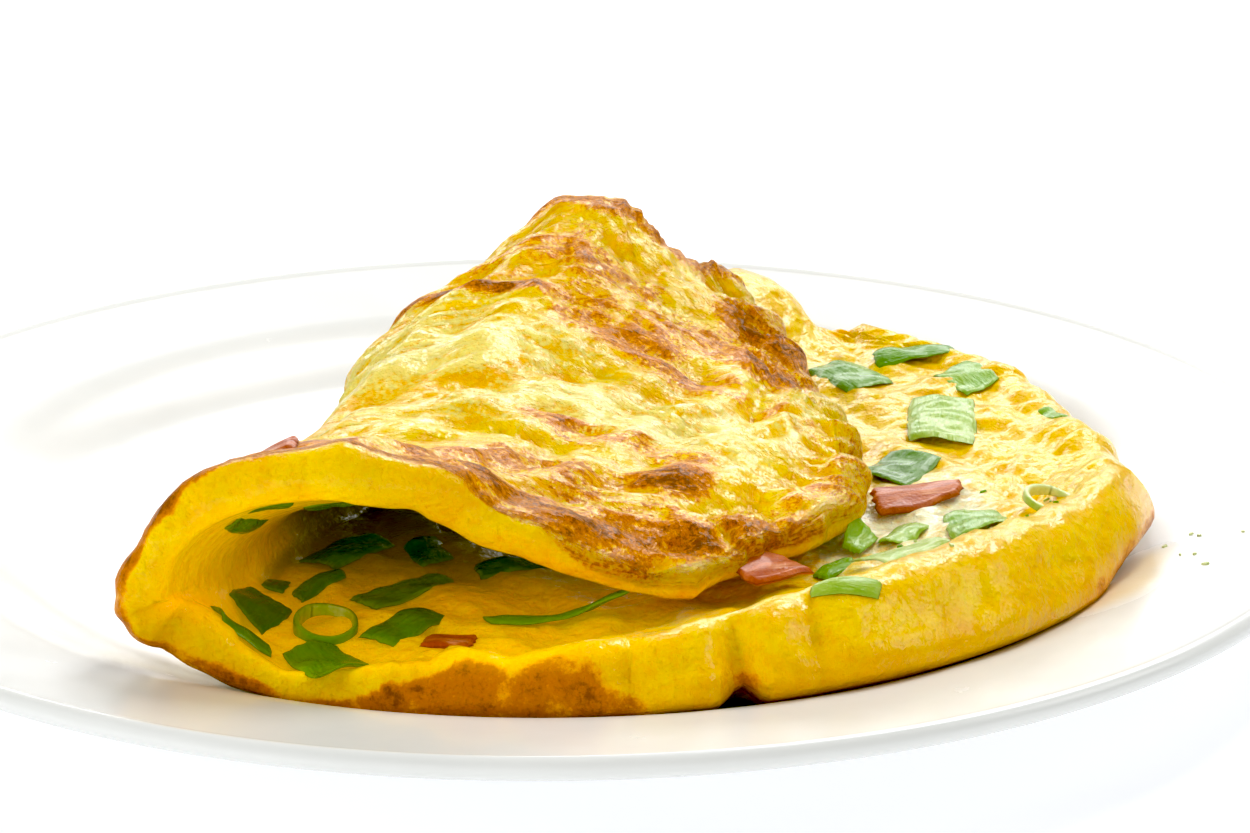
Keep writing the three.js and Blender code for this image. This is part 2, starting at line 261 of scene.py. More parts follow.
def skin(part, along):
    """The outer skin without its relief."""
    outline, fold, crest, edge = (line(along) for line in (OUTLINE, FOLD, CREST, FLAP_EDGE))
    across = (outline - fold) * (1, 1, 0)
    span = length(across)[..., 0]
    across = unit(across)
    side = xyz(across[..., 1], -across[..., 0], 0)
    bow = mix(FRONT_BULGE, BACK_BULGE, 1 - (1 - along) ** 1.8)
    turn = 0.8 * (fold[..., 2] - FLOOR_HEIGHT)

    def lay(distance):
        s = distance / span
        swing = bow * np.sin(np.pi * s**1.15)
        p = fold + across * distance[..., None] + side * swing[..., None]
        rest = GAP + plate_under(p, 2)
        place = (span - distance) / (span - turn)
        p[..., 2] = rest + outline[..., 2] * s**4 + CURL_LIFT * curl(place, along)
        return p

    layer = lay(mix(span, turn, clamp(part)))
    low = np.pi / 2 * clamp((part - 1) / 0.5)
    under = lay(turn * (1 - np.sin(low)))
    under[..., 2] = mix(fold[..., 2], under[..., 2], np.cos(low))
    high = np.pi / 2 * clamp((part - 1.5) / 0.5)
    over = mix(fold, crest, (1 - np.cos(high))[..., None])
    over[..., 2] = mix(fold[..., 2], crest[..., 2], np.sin(high))
    s = clamp(part - 2)
    flap = mix(crest, edge, s[..., None])
    flap[..., 2] = mix(crest[..., 2], edge[..., 2], smooth(s))
    part = part[..., None]
    return np.select([part < 1, part < 1.5, part < 2], [layer, under, over], flap)


def outer_relief(p, part):
    x, y = p[..., 0], p[..., 1]
    patch = 0.5 + 0.5 * np.sin(0.11 * x - 0.07 * y + 1)
    bend = 2 * np.sin(0.07 * x - 0.05 * y)
    across = np.sin(0.4 * y + 0.1 * x + bend) * patch
    slanted = np.sin(0.45 * x - 0.25 * y + np.sin(0.15 * y)) * (1 - patch)
    return OUTER_RELIEF * (across + slanted) * rise(part, 1.3, 0.4)


def inner_relief(p, part):
    x, y = p[..., 0], p[..., 1]
    swell = np.sin(0.3 * x + 0.8 * np.sin(0.13 * y))
    swell = swell * np.sin(0.26 * y + 0.1 * x)
    return INNER_RELIEF * swell * fall(part, 1.6, 0.4)


def sheet_place(part, along):
    """Distances along the skin: across the sheet, and from front to back."""
    return sum(width * clamp(part - start) for start, width in enumerate(WIDTHS)), SHEET_DEPTH * along


def turned(across, back, angle, stretch):
    """Sheet coordinates turned by an angle in degrees and shortened along the turned direction."""
    a = np.radians(angle)
    ahead = (across * np.cos(a) + back * np.sin(a)) / stretch
    aside = back * np.cos(a) - across * np.sin(a)
    return xyz(ahead, aside, 0)


GRAIN_ANGLES = (-12, 38, -50)  # degrees, on the flap's top, left flank and right end


def grain(p, part, along, stretch):
    """Sheet coordinates along the fibres of the flap's top and of its flanks, and the flanks' share."""
    across, back = sheet_place(part, along)
    wander = 5 * cloud(p, 22, 3)
    across, back = across + wander, back + 0.6 * wander
    flank = fall(part, 2.2, 0.3) * rise(along, 0.3, 0.2)
    end = rise(part, 2.6, 0.3)
    top, left, right = (turned(across, back, angle, stretch) for angle in GRAIN_ANGLES)
    return top, np.where((part < 2.4)[..., None], left, right), flank + end


def outer_wrinkles(p, part, along):
    """Height of the fine wrinkles on the browned side."""
    top, side, share = grain(p, part, along, 3.0)
    fine = 0.5 * mix(creases(top, 4.6, 1), creases(side, 4.6, 1), share)
    top, side, share = grain(p, part, along, 2.2)
    fine = fine + 0.28 * mix(creases(top, 2.6, 2), creases(side, 2.6, 2), share)
    fine = fine * (1 + 0.8 * rise(part, 2.7, 0.2))
    shown = rise(part, 1.05, 0.3)
    return shown * (fine + 0.7 * cloud(p, 13, 4) + folds(p, part, along)) + 0.15 * cloud(p, 3, 5)


def inner_wrinkles(p, part, along):
    """Height of the soft swellings, ripples and pits of the moist side."""
    across, back = sheet_place(part, along)
    wander = 6 * cloud(p, 25, 6)
    ripples = 0.5 * creases(turned(across + wander, back, 8, 1.2), 6.0, 7) + cloud(p, 5, 11)
    pits = rise(cloud(p, 4.2, 8), 0.35, 0.4)
    open_face = fall(part, 1.15, 0.3)
    swell = cloud(p, 10, 9)
    relief = 0.45 * ripples + 0.5 * swell + 0.28 * cloud(p, 2.6, 10)
    inside = 0.12 + 0.18 * rise(part, 1.8, 0.3)
    return mix(inside, 1, open_face) * relief - 0.8 * pits * open_face


# Folds of the browned side: height, half width, and the line they follow as (part, along).
FOLDS = [
    (1.3, 5, [(2.66, 0.22), (2.76, 0.34), (2.84, 0.44), (2.93, 0.6)]),
    (-1.2, 4, [(2.8, 0.18), (2.9, 0.3), (2.97, 0.42)]),
    (-2.2, 5, [(1.74, 0.38), (1.86, 0.4), (2, 0.42), (2.14, 0.47), (2.28, 0.5)]),
    (1, 5, [(1.8, 0.48), (1.95, 0.53), (2.1, 0.57), (2.24, 0.58)]),
    (-1.2, 2.2, [(2.86, 0.69), (2.83, 0.6), (2.79, 0.53)]),
    (0.9, 3, [(1.74, 0.78), (1.84, 0.76), (1.95, 0.73), (2.1, 0.7)]),
    (-1.4, 4.5, [(1.7, 0.83), (1.88, 0.8), (2.02, 0.77), (2.16, 0.77), (2.34, 0.76)]),
    (-2.2, 7, [(1.55, 0.9), (1.72, 0.91), (1.84, 0.92)]),
    (-1, 4, [(2.2, 0.9), (2.4, 0.88), (2.6, 0.9)]),
    (-0.9, 3, [(2.1, 0.13), (2.3, 0.12), (2.5, 0.11), (2.7, 0.14)]),
    (0.8, 3, [(2.12, 0.05), (2.32, 0.04), (2.52, 0.03), (2.74, 0.05)]),
    (-0.8, 3, [(2.3, 0.29), (2.45, 0.27), (2.62, 0.28)]),
    (0.7, 3, [(2.34, 0.36), (2.5, 0.35), (2.66, 0.37)]),
    (-0.9, 3, [(2.4, 0.66), (2.55, 0.62), (2.7, 0.6)]),
]


def near_line(across, back, line):
    """Distance from each place of the sheet to a line given as (part, along)."""
    points = np.stack(sheet_place(*np.array(line, float).T), -1)
    place = np.stack([across, back], -1)
    found = np.full(across.shape, np.inf)
    for start, end in zip(points, points[1:]):
        step = end - start
        share = clamp(((place - start) @ step) / (step @ step))
        found = np.minimum(found, np.hypot(*np.moveaxis(place - start - share[..., None] * step, -1, 0)))
    return found


def line_bumps(across, back, lines, spread=1):
    """A bump along each of some lines; a spread above 1 draws them wider."""
    return [height * bump(near_line(across, back, line), 0, width * spread) for height, width, line in lines]


def folds(p, part, along):
    """Height of the named folds, which wander a little off their lines."""
    across, back = sheet_place(part, along)
    shift = 2.5 * cloud(p, 10, 20)
    return sum(line_bumps(across + shift, back + shift, FOLDS))


def under_top(height):
    """Rounds off what would stand higher than the CAD's summit."""
    over = np.maximum(height - TOP + TOP_ROUNDING, 0)
    return height - over + TOP_ROUNDING * np.tanh(over / TOP_ROUNDING)


def spread_columns():
    stretches = [start + np.linspace(0, 1, count, endpoint=False) for start, count in enumerate(COLUMNS)]
    return np.concatenate([*stretches, [len(COLUMNS)]])


def sheet_normals(p):
    ahead = np.gradient(p, axis=0)
    over = np.gradient(p, axis=1)
    return -unit(np.cross(over, ahead))


def open_end(part, along):
    """How much thicker than the CAD's the sheet is at the roll's open end: thin above, with lobes."""
    front = bump(along, 0, 0.07)
    thin = -1.8 * bump(part, 1.75, 0.22)
    lobes = 0.2 * bump(part, 2.12, 0.07) - 0.9 * bump(part, 2.28, 0.05) + 0.8 * bump(part, 2.5, 0.07)
    lip = 1.6 * bump(part, 0.80, 0.05) - 1.2 * bump(part, 0.93, 0.05) + 0.8 * bump(part, 1.02, 0.04)
    return front * (thin + lobes + lip)


def settling(p, part, along):
    """How far the front edge of the layer sinks to lie on the plate."""
    gap = p[..., 2] - plate_under(p) - ON_PLATE
    here = bump(along, 0, 0.08) * rise(part, 0.01, 0.08) * fall(part, 1.08, 0.15)
    return np.clip(gap, 0, MOST_SETTLING) * here


def softened(values, rounds):
    """Values of a grid averaged with their neighbours: each pass takes one direction and swaps the two."""
    for _ in range(2 * rounds):
        middle = (values[:-2] + 2 * values[1:-1] + values[2:]) / 4
        values = np.concatenate([values[:1], middle, values[-1:]]).swapaxes(0, 1)
    return values


def egg_sides(part, along):
    """Skin without relief, outer and inner side of the sheet, and height of the outer wrinkles."""
    base = skin(part, along)
    inward = sheet_normals(base)
    deep = thickness(part, along) + inner_relief(base, part) + open_end(part, along)
    outer = base - inward * outer_relief(base, part)[..., None]
    ridges = outer_wrinkles(outer, part, along)
    outer = outer - inward * ridges[..., None]
    flat = fall(part, 0.95, 0.2)[..., None]
    inward = unit(mix(inward, softened(inward, SMOOTHING), flat))
    inner = base + inward * deep[..., None]
    inner = inner + inward * inner_wrinkles(inner, part, along)[..., None]
    outer[..., 2] -= settling(outer, part, along)
    outer[..., 2] += NOTCH_HEIGHT * bump(part, NOTCH, NOTCH_WIDTH) * bump(along, 0, 0.04)
    outer[..., 2] = under_top(outer[..., 2])
    inner[..., 2] = under_top(inner[..., 2])
    return base, outer, inner, ridges


def egg_rim(base, outer, inner, part, along, angles):
    """Points between the two sides: a row for each place of the border, from the outer side to the inner."""
    r, c = border_loop(*part.shape)
    next_r, next_c = (np.clip(k, 1, count - 2) for k, count in zip((r, c), part.shape))
    out = unit(base[r, c] - base[next_r, next_c])
    low, high = outer[r, c], inner[r, c]
    middle, half = (low + high) / 2, (low - high) / 2
    reach = length(half)
    part, along = part[r, c], along[r, c]
    rows = []
    for angle in angles:
        bulge = np.sin(angle) ** rim_power(part, angle)[:, None]
        p = middle + half * np.cos(angle) + out * reach * bulge
        lumps = rim_lumps(p, part, along, angle)
        foot = FOOT_REACH * max(math.cos(angle), 0) * math.sin(angle) ** 0.3 * on_foot(part, along)
        p = p + out * (lumps * np.sin(angle) + foot)[:, None]
        p[:, 2] = np.maximum(p[:, 2], plate_under(p) + ON_PLATE)
        rows.append(p)
    return np.stack(rows, 1)


def egg_sheet():
    """Vertices, quads and places of the whole sheet. Turn runs from 0, outer, to 1, inner side."""
    steps = np.linspace(0, 1, ROWS + 1)
    along, part = np.meshgrid(steps * (0.8 + 0.2 * steps), spread_columns(), indexing="ij")
    base, outer, inner, ridges = egg_sides(part, along)
    angles = np.pi * np.arange(1, RIM_STEPS) / RIM_STEPS
    rim = egg_rim(base, outer, inner, part, along, angles)
    vertices = joined(outer, inner, rim)

    # Quads of both sides and, in strips from one side to the other, of the rim
    count, steps = part.size, len(angles)
    number, faces = grid(*part.shape)
    border = border_loop(*part.shape)
    edge = number[border][:, None]
    between = 2 * count + np.arange(edge.size * steps).reshape(-1, steps)
    strips = np.concatenate([edge, between, edge + count], 1)
    after = np.roll(strips, -1, axis=0)
    rim_faces = quads(after[:, :-1], strips[:, :-1], strips[:, 1:], after[:, 1:])

    def everywhere(values):
        return np.concatenate([values.ravel(), values.ravel(), np.repeat(values[border], steps)])

    places = {
        "part": everywhere(part),
        "along": everywhere(along),
        "turn": np.concatenate([np.zeros(count), np.ones(count), np.tile(angles / np.pi, edge.size)]),
        "ridge": np.concatenate([ridges.ravel(), np.zeros(count + edge.size * steps)]),
    }
    return vertices, np.concatenate([faces, flipped(faces) + count, rim_faces]), places


def rim_power(part, angle):
    """Below 1 where the edge of the sheet is squarer than a half round: at the foot of the lower layer."""
    return mix(0.9, mix(0.5, 0.75, angle / np.pi), fall(part, 1.1, 0.3))


def rim_lumps(p, part, along, angle):
    """How far the edge of the sheet stands out beyond its rounding."""
    lumps = 0.9 * cloud(p, 9, 12) + 0.45 * cloud(p, 4, 13)
    lumps = lumps * (1 + 0.9 * rise(part, 2.6, 0.2)) + 0.8 * cloud(p, 6, 16) * bump(part, 0.75, 0.16)
    swell = 1.1 * cloud(p, 16, 14) * fall(part, 0.95, 0.2)
    torn = -NOTCH_DEPTH * bump(part, NOTCH, NOTCH_WIDTH)
    torn = torn + 1.2 * bump(part, 0.505, 0.02) + 1.4 * bump(part, 0.585, 0.03)
    creased = sum(-CREASE_DEPTH * bump(part, crease, CREASE_WIDTH) for crease in CREASE_PARTS)
    crust = rise(along, 0.97, 0.03) * rise(part, 1.5, 0.2) * cloud(p, 3.2, 15)
    return lumps + bump(along, 0, 0.05) * (swell + torn + creased) + crust


def on_foot(part, along):
    """Share of the front edge whose foot spreads over the plate's shoulder."""
    torn = 1 - bump(part, NOTCH, 0.03)
    return torn * bump(along, 0, 0.05) * fall(part, 0.75, 0.2) * rise(part, 0.02, 0.1)


# Making objects

def make(name, vertices, faces, material, fields=None, smooth_faces=True):
    """A mesh object from millimetres, with its fields as attributes."""
    mesh = bpy.data.meshes.new(name)
    mesh.from_pydata((np.asarray(vertices) * MM).tolist(), [], [list(map(int, f)) for f in faces])
    mesh.validate()
    for key, values in (fields or {}).items():
        values = np.asarray(values, float)
        kind, member = ("FLOAT", "value") if values.ndim == 1 else ("FLOAT_VECTOR", "vector")
        mesh.attributes.new(key, kind, "POINT").data.foreach_set(member, values.ravel())
    mesh.polygons.foreach_set("use_smooth", [smooth_faces] * len(mesh.polygons))
    mesh.materials.append(material)
    made = bpy.data.objects.new(name, mesh)
    bpy.context.scene.collection.objects.link(made)
    return made


# Materials

class Shader:
    """A material's node tree, with short calls for the nodes used here."""

    def __init__(self, name):
        self.material = bpy.data.materials.new(name)
        self.material.use_nodes = True
        self.tree = self.material.node_tree
        self.surface = self.tree.nodes["Principled BSDF"]

    def node(self, kind, inputs=None, output=0, **settings):
        made = self.tree.nodes.new(kind)
        for key, value in settings.items():
            setattr(made, key, value)
        self.fill(made, inputs or {})
        return made.outputs[output]

    def fill(self, made, inputs):
        for key, value in inputs.items():
            if isinstance(value, bpy.types.NodeSocket):
                self.tree.links.new(value, made.inputs[key])
            else:
                made.inputs[key].default_value = value

    def finish(self, **inputs):
        self.fill(self.surface, {key.replace("_", " "): value for key, value in inputs.items()})
        return self.material

    def field(self, name, output="Fac"):
        return self.node("ShaderNodeAttribute", output=output, attribute_name=name)

    def noise(self, size, where=None, detail=3.0, rough=0.55, warp=0.0):
        """Noise from 0 to 1, with features of a size in millimetres."""
        inputs = {"Scale": 1 / (size * MM), "Detail": detail, "Roughness": rough, "Distortion": warp}
        inputs["Vector"] = where or self.node("ShaderNodeTexCoord", output="Object")
        return self.node("ShaderNodeTexNoise", inputs)

    def math(self, operation, a, b):
        return self.node("ShaderNodeMath", {0: a, 1: b}, operation=operation)

    def times(self, a, b):
        return self.math("MULTIPLY", a, b)

    def total(self, *terms):
        """A sum of terms, each a value or a value with its weight."""
        terms = [self.times(*term) if isinstance(term, tuple) else term for term in terms]
        return functools.reduce(lambda a, b: self.math("ADD", a, b), terms)

    def swing(self, noise, strength):
        """A noise turned into a value that swings about 0."""
        return self.times(self.math("SUBTRACT", noise, 0.5), strength)

    def ramp(self, value, low, high):
        inputs = {"Value": value, "From Min": low, "From Max": high}
        return self.node("ShaderNodeMapRange", inputs, interpolation_type="SMOOTHSTEP")

    def mix(self, share, a, b):
        return self.node("ShaderNodeMix", {0: share, 2: a, 3: b})

    def blend(self, share, a, b):
        return self.node("ShaderNodeMix", {0: share, 6: a, 7: b}, output=2, data_type="RGBA")

    def bumps(self, height, distance, onto=None):
        """A normal bent by a height, at full strength over a distance in millimetres."""
        fixed = not isinstance(distance, bpy.types.NodeSocket)
        distance = distance * MM if fixed else self.times(distance, MM)
        inputs = {"Height": height, "Strength": 1.0, "Distance": distance}
        if onto is not None:
            inputs["Normal"] = onto
        return self.node("ShaderNodeBump", inputs)


def colour(red, green, blue):
    """A shader colour from the usual 0 to 255 screen values."""
    values = [c / 255 for c in (red, green, blue)]
    return [c / 12.92 if c < 0.04 else ((c + 0.055) / 1.055) ** 2.4 for c in values] + [1.0]


# Colours

EGG_DEEP = colour(250, 190, 0)
EGG_YELLOW = colour(255, 208, 0)
# painted highlight: a lighter yellow laid on the heights of the relief
EGG_CREST_HIGHLIGHT = colour(255, 225, 24)
# painted shade: a deeper golden yellow laid in the valleys of the relief
EGG_VALLEY_SHADE = colour(246, 170, 4)
# partly the egg's own cream, partly painted sheen and highlight
EGG_PALE = colour(255, 231, 118)
EGG_SHADED = colour(44, 36, 0)
# painted warm light and shade: orange in the roll's mouth and low on the front edge
EGG_WARM = colour(255, 160, 0)
# partly the egg's milky white, partly painted glare on the layer's top
EGG_MILKY_GLARE = colour(250, 243, 196)
# painted glow: emission that stands in for light shining through the egg
EGG_PAINTED_GLOW = colour(255, 200, 0)
EGG_GOLDEN = colour(243, 163, 6)
EGG_COPPER = colour(206, 121, 8)
EGG_BURNT = colour(138, 76, 14)
PLATE_WHITE = colour(231, 232, 228)
PLATE_GREY = colour(228, 229, 225)
LEAF_RAMP = [  # from the dark leaf to the pale stalk
    (0.0, colour(60, 104, 4)), (0.3, colour(90, 144, 10)), (0.55, colour(116, 166, 26)),
    (0.78, colour(158, 188, 60)), (1.0, colour(224, 234, 170)),
]
LEAF_CUT = colour(176, 200, 96)
HAM_DARK = colour(170, 74, 34)
HAM_LIGHT = colour(210, 122, 76)
HAM_FAT = colour(238, 186, 144)
HAM_SPECKLE = colour(160, 66, 46)
POOL_AMBER = colour(236, 218, 176)
POOL_CLEAR = colour(240, 228, 200)
FLOOR_WHITE = colour(190, 192, 196)
FLOOR_GREY = colour(186, 188, 192)
FLOOR_LIGHT = colour(252, 253, 255)
FLOOR_GLOW = 0.62  # the floor is a lit white table


def egg_material():
    s = Shader("egg")
    grains = s.field("top_grain", "Vector"), s.field("side_grain", "Vector")
    side_share, skin, ridge, brown = map(s.field, ("side_share", "skin", "ridge", "brown"))

    def fibres(size, detail, rough, warp):
        return s.mix(side_share, *(s.noise(size, where, detail, rough, warp) for where in grains))

    long_noise = fibres(5, 4, 0.6, 0.3)
    streaks = fibres(2.2, 5, 0.68, 0.4)
    threads = fibres(1.0, 4, 0.6, 0.3)
    fine_grain = s.noise(1.1, detail=3, rough=0.6)
    grit = s.noise(0.8, detail=3, rough=0.7)
    foam = s.noise(2.0, detail=5, rough=0.6)
    texture = s.mix(skin, foam, streaks)

    # The yellow egg, with a painted highlight on its relief's heights and painted shade in its valleys,
    # pale places partly of its own cream and partly painted sheen, a painted warm glow in the roll's mouth,
    # painted warm shade low on the front edge, and milky places partly painted glare
    yellow = s.blend(s.ramp(s.noise(9, detail=3), 0.35, 0.65), EGG_DEEP, EGG_YELLOW)
    fine = s.total((texture, 0.7), (fine_grain, 0.3))
    # Painted highlight: lighter yellow on the heights of the relief
    crest_highlight = s.times(s.ramp(fine, 0.4, 0.62), s.mix(skin, 0.25, 0.55))
    yellow = s.blend(crest_highlight, yellow, EGG_CREST_HIGHLIGHT)
    height = s.total((texture, 0.6), (fine_grain, 0.4), (ridge, 0.07))
    # Painted shade: deeper golden yellow in the valleys of the relief
    valley_shade = s.times(s.ramp(height, 0.49, 0.36), s.mix(skin, 0.3, 0.5))
    yellow = s.blend(valley_shade, yellow, EGG_VALLEY_SHADE)
    # Pale on the relief's heights: painted highlight; pale places: partly cream, partly painted sheen
    highlight_on_heights = s.swing(height, s.mix(skin, 1.5, 5.0))
    pale = s.total(s.field("pale"), s.swing(long_noise, 1.0), highlight_on_heights)
    yellow = s.blend(s.ramp(pale, 0.3, 0.95), yellow, EGG_PALE)
    # Painted orange glow in the roll's mouth and painted warm shade low on the front edge
    yellow = s.blend(s.field("warm"), yellow, EGG_WARM)
    # Milky places on the layer's top: partly the egg's milky white, partly painted glare
    milky_glare = s.total(s.field("milky_glare"), s.swing(foam, 1.6))
    yellow = s.blend(s.ramp(milky_glare, 0.3, 1.1), yellow, EGG_MILKY_GLARE)

    # Browning, broken up along the fibres on the skin and in patches elsewhere
    fibrous = s.total((long_noise, 0.7), (streaks, 1.3), (threads, 0.5), (ridge, 0.22), (grit, 1.4), -1.95)
    patchy = s.total((foam, 0.7), (grit, 0.5), -0.6)
    breaking = s.total(0.3, (s.ramp(brown, 0.0, 0.45), 1.3))
    toast = s.total(brown, (s.mix(skin, patchy, fibrous), breaking))
    golden = s.blend(s.ramp(toast, 0.25, 0.58), yellow, EGG_GOLDEN)
    copper = s.blend(s.ramp(toast, 0.48, 0.85), golden, EGG_COPPER)
    burnt = s.blend(s.ramp(toast, 0.92, 1.4), copper, EGG_BURNT)
    # Painted shade: a dark olive laid deep inside the roll
    shaded = s.blend(s.field("deep"), burnt, EGG_SHADED)
    rough = s.total(0.26, (s.ramp(fine_grain, 0.3, 0.7), 0.14), (s.ramp(toast, 0.5, 1.0), 0.1))

    # Relief of pores, threads, ripples and swellings, and of the wet film over them
    relief = s.bumps(s.noise(0.7, detail=2), 0.05)
    thread_height = s.mix(skin, fine_grain, s.total(threads, fine_grain))
    relief = s.bumps(thread_height, s.mix(skin, 0.2, 0.32), onto=relief)
    relief = s.bumps(texture, s.mix(skin, 1.0, 1.6), onto=relief)
    relief = s.bumps(s.noise(2.6, detail=3, rough=0.5), 0.9, onto=relief)
    wet = s.bumps(texture, s.mix(skin, 0.2, 0.4))
    wet = s.bumps(s.noise(3.2, detail=3, rough=0.5), s.mix(skin, 0.5, 0.9), onto=wet)
    film = s.mix(s.ramp(toast, 0.3, 0.8), 0.7, 0.28)
    # The emission is a painted glow, standing in for light shining through the thin egg
    return s.finish(
        Base_Color=shaded, Roughness=rough, Normal=relief, Specular_IOR_Level=0.06, Subsurface_Weight=0.3,
        Subsurface_Radius=(1.0, 0.5, 0.05), Subsurface_Scale=4 * MM, Coat_Weight=film, Coat_Roughness=0.07,
        Coat_Normal=wet, Emission_Color=EGG_PAINTED_GLOW, Emission_Strength=s.field("painted_glow"),
    )


def glaze_material():
    s = Shader("plate_glaze")
    waves = s.noise(30, detail=2)
    tint = s.blend(s.ramp(waves, 0.3, 0.7), PLATE_WHITE, PLATE_GREY)
    rough = s.total(0.2, (s.noise(6, detail=4), 0.1))
    flow = s.bumps(waves, 0.25)
    return s.finish(
        Base_Color=tint, Roughness=rough, Normal=flow, Specular_IOR_Level=0.4, Coat_Weight=0.12,
        Coat_Roughness=0.06,
    )


def leaf_material():
    """Scallion leaf: tone runs from the dark leaf to the pale stalk, and leaf holds its own directions."""
    s = Shader("scallion")
    own = s.field("leaf", "Vector")
    veins = s.noise(0.9, own, 4, 0.6)
    cloudy = s.noise(4, detail=3)
    shade = s.total(s.field("tone"), s.swing(cloudy, 0.35), s.swing(veins, 0.3))
    green = s.tree.nodes.new("ShaderNodeValToRGB")
    s.fill(green, {"Fac": shade})
    stops = green.color_ramp.elements
    while len(stops) < len(LEAF_RAMP):
        stops.new(0.5)
    for stop, (place, value) in zip(stops, LEAF_RAMP):
        stop.position, stop.color = place, value
    edged = s.blend(s.times(s.field("cut"), 0.22), green.outputs["Color"], LEAF_CUT)
    ribs = s.bumps(veins, 0.5)
    film = s.bumps(s.noise(3, detail=3), 0.5, onto=ribs)
    rough = s.total(0.16, (cloudy, 0.2))
    return s.finish(
        Base_Color=edged, Roughness=rough, Normal=film, Specular_IOR_Level=0.25, Subsurface_Weight=0.12,
        Subsurface_Radius=(0.5, 1.0, 0.1), Subsurface_Scale=1.5 * MM, Coat_Weight=0.25, Coat_Roughness=0.1,
    )


def ham_material():
    s = Shader("ham")
    own = s.field("leaf", "Vector")
    fibres = s.noise(1.6, own, 5, 0.65)
    speckle = s.noise(0.7, detail=3)
    meat = s.blend(s.ramp(fibres, 0.35, 0.65), HAM_DARK, HAM_LIGHT)
    fat = s.ramp(s.noise(3.5, own, 3), 0.6, 0.72)
    meat = s.blend(s.times(fat, 0.6), meat, HAM_FAT)
    meat = s.blend(s.times(s.ramp(speckle, 0.55, 0.7), 0.4), meat, HAM_SPECKLE)
    grain = s.bumps(speckle, 0.25)
    pull = s.bumps(fibres, 0.5, onto=grain)
    return s.finish(
        Base_Color=meat, Roughness=0.33, Normal=pull, Specular_IOR_Level=0.15, Subsurface_Weight=0.1,
        Subsurface_Radius=(1.0, 0.3, 0.1), Subsurface_Scale=2 * MM, Coat_Weight=0.22, Coat_Roughness=0.12,
    )


# A thin pool on the plate: amber and cream in the middle, fading to the glaze's white at its shore
def pool_material():
    s = Shader("tinted_pool")
    tint = s.blend(s.noise(4, detail=3), POOL_AMBER, POOL_CLEAR)
    tint = s.blend(s.ramp(s.field("shore"), 0.45, 0.97), tint, PLATE_WHITE)
    ripples = s.bumps(s.noise(4, detail=3), 0.1)
    return s.finish(
        Base_Color=tint, Roughness=0.35, Normal=ripples, Specular_IOR_Level=0.2, Coat_Weight=0.15,
        Coat_Roughness=0.1,
    )


def floor_material():
    s = Shader("floor")
    tint = s.blend(s.noise(300, detail=2), FLOOR_WHITE, FLOOR_GREY)
    return s.finish(
        Base_Color=tint, Roughness=0.6, Specular_IOR_Level=0.2, Emission_Color=FLOOR_LIGHT,
        Emission_Strength=FLOOR_GLOW,
    )


# Omelette

# Browning of the outer skin: strength, half width, and the line it follows as (part, along).
BROWNED = [
    (0.75, 6, [(1.86, 0.03), (2.03, 0.1), (2.2, 0.14), (2.33, 0.2), (2.5, 0.19), (2.67, 0.22)]),
    (0.9, 6, [(2.2, 0.08), (2.38, 0.05), (2.53, 0.04), (2.68, 0.04), (2.84, 0.06)]),
    (0.55, 6, [(2.25, 0.12), (2.45, 0.12), (2.7, 0.13)]),
    (0.75, 3, [(1.8, 0), (2.1, 0), (2.4, 0), (2.7, 0.01)]),
    (0.95, 11, [(2.72, 0.07), (2.86, 0.09), (2.93, 0.13)]),
    (0.6, 5, [(2.3, 0.37), (2.42, 0.33)]),
    (0.5, 4, [(2.52, 0.33), (2.66, 0.31)]),
    (0.85, 5.5, [(2.1, 0.74), (2.3, 0.74)]),
    (0.85, 7, [(2.2, 0.68), (2.36, 0.66), (2.5, 0.67)]),
    (0.85, 7, [(2.4, 0.64), (2.5, 0.61), (2.64, 0.6)]),
    (0.75, 8, [(2.44, 0.74), (2.62, 0.74), (2.74, 0.74)]),
    (1.1, 8, [(2.88, 0.84), (2.98, 0.78)]),
    (0.9, 7, [(2.82, 0.71), (2.94, 0.69)]),
    (0.5, 4, [(2.7, 0.58), (2.82, 0.55)]),
    (0.9, 2.6, [(1.7, 0.77), (1.77, 0.78), (1.86, 0.75), (1.95, 0.73), (2.03, 0.73)]),
    (0.8, 2.4, [(1.8, 0.8), (1.9, 0.79), (2.05, 0.78)]),
    (0.75, 10, [(1.82, 0.89), (1.95, 0.88), (2.08, 0.86)]),
    (0.7, 8, [(2.05, 0.84), (2.22, 0.81), (2.42, 0.82)]),
    (0.85, 4.5, [(1.5, 1), (1.9, 1), (2.2, 0.99), (2.5, 1), (3, 1)]),
    (0.5, 5, [(2.92, 0.17), (2.97, 0.3)]),
    (0.45, 4, [(2.97, 0.36), (2.98, 0.5)]),
    (0.5, 7, [(1.35, 0), (1.5, 0), (1.75, 0), (1.95, 0)]),
]
HALO = 0.25  # strength of the golden surroundings of the browned lines, and how much wider they are
HALO_SPREAD = 2.2
PAN_SIDE = 0.62  # browning of the underside, which lay in the pan
# Pale places of the skin, partly the egg's own cream and partly painted sheen, given in the same way
PALE = [
    (0.9, 14, [(1.75, 0.62), (1.88, 0.5), (1.88, 0.4)]),
    (1, 11, [(2.1, 0.5), (2.22, 0.43), (2.42, 0.42), (2.6, 0.42)]),
    (0.6, 6, [(2.62, 0.52), (2.75, 0.5)]),
]


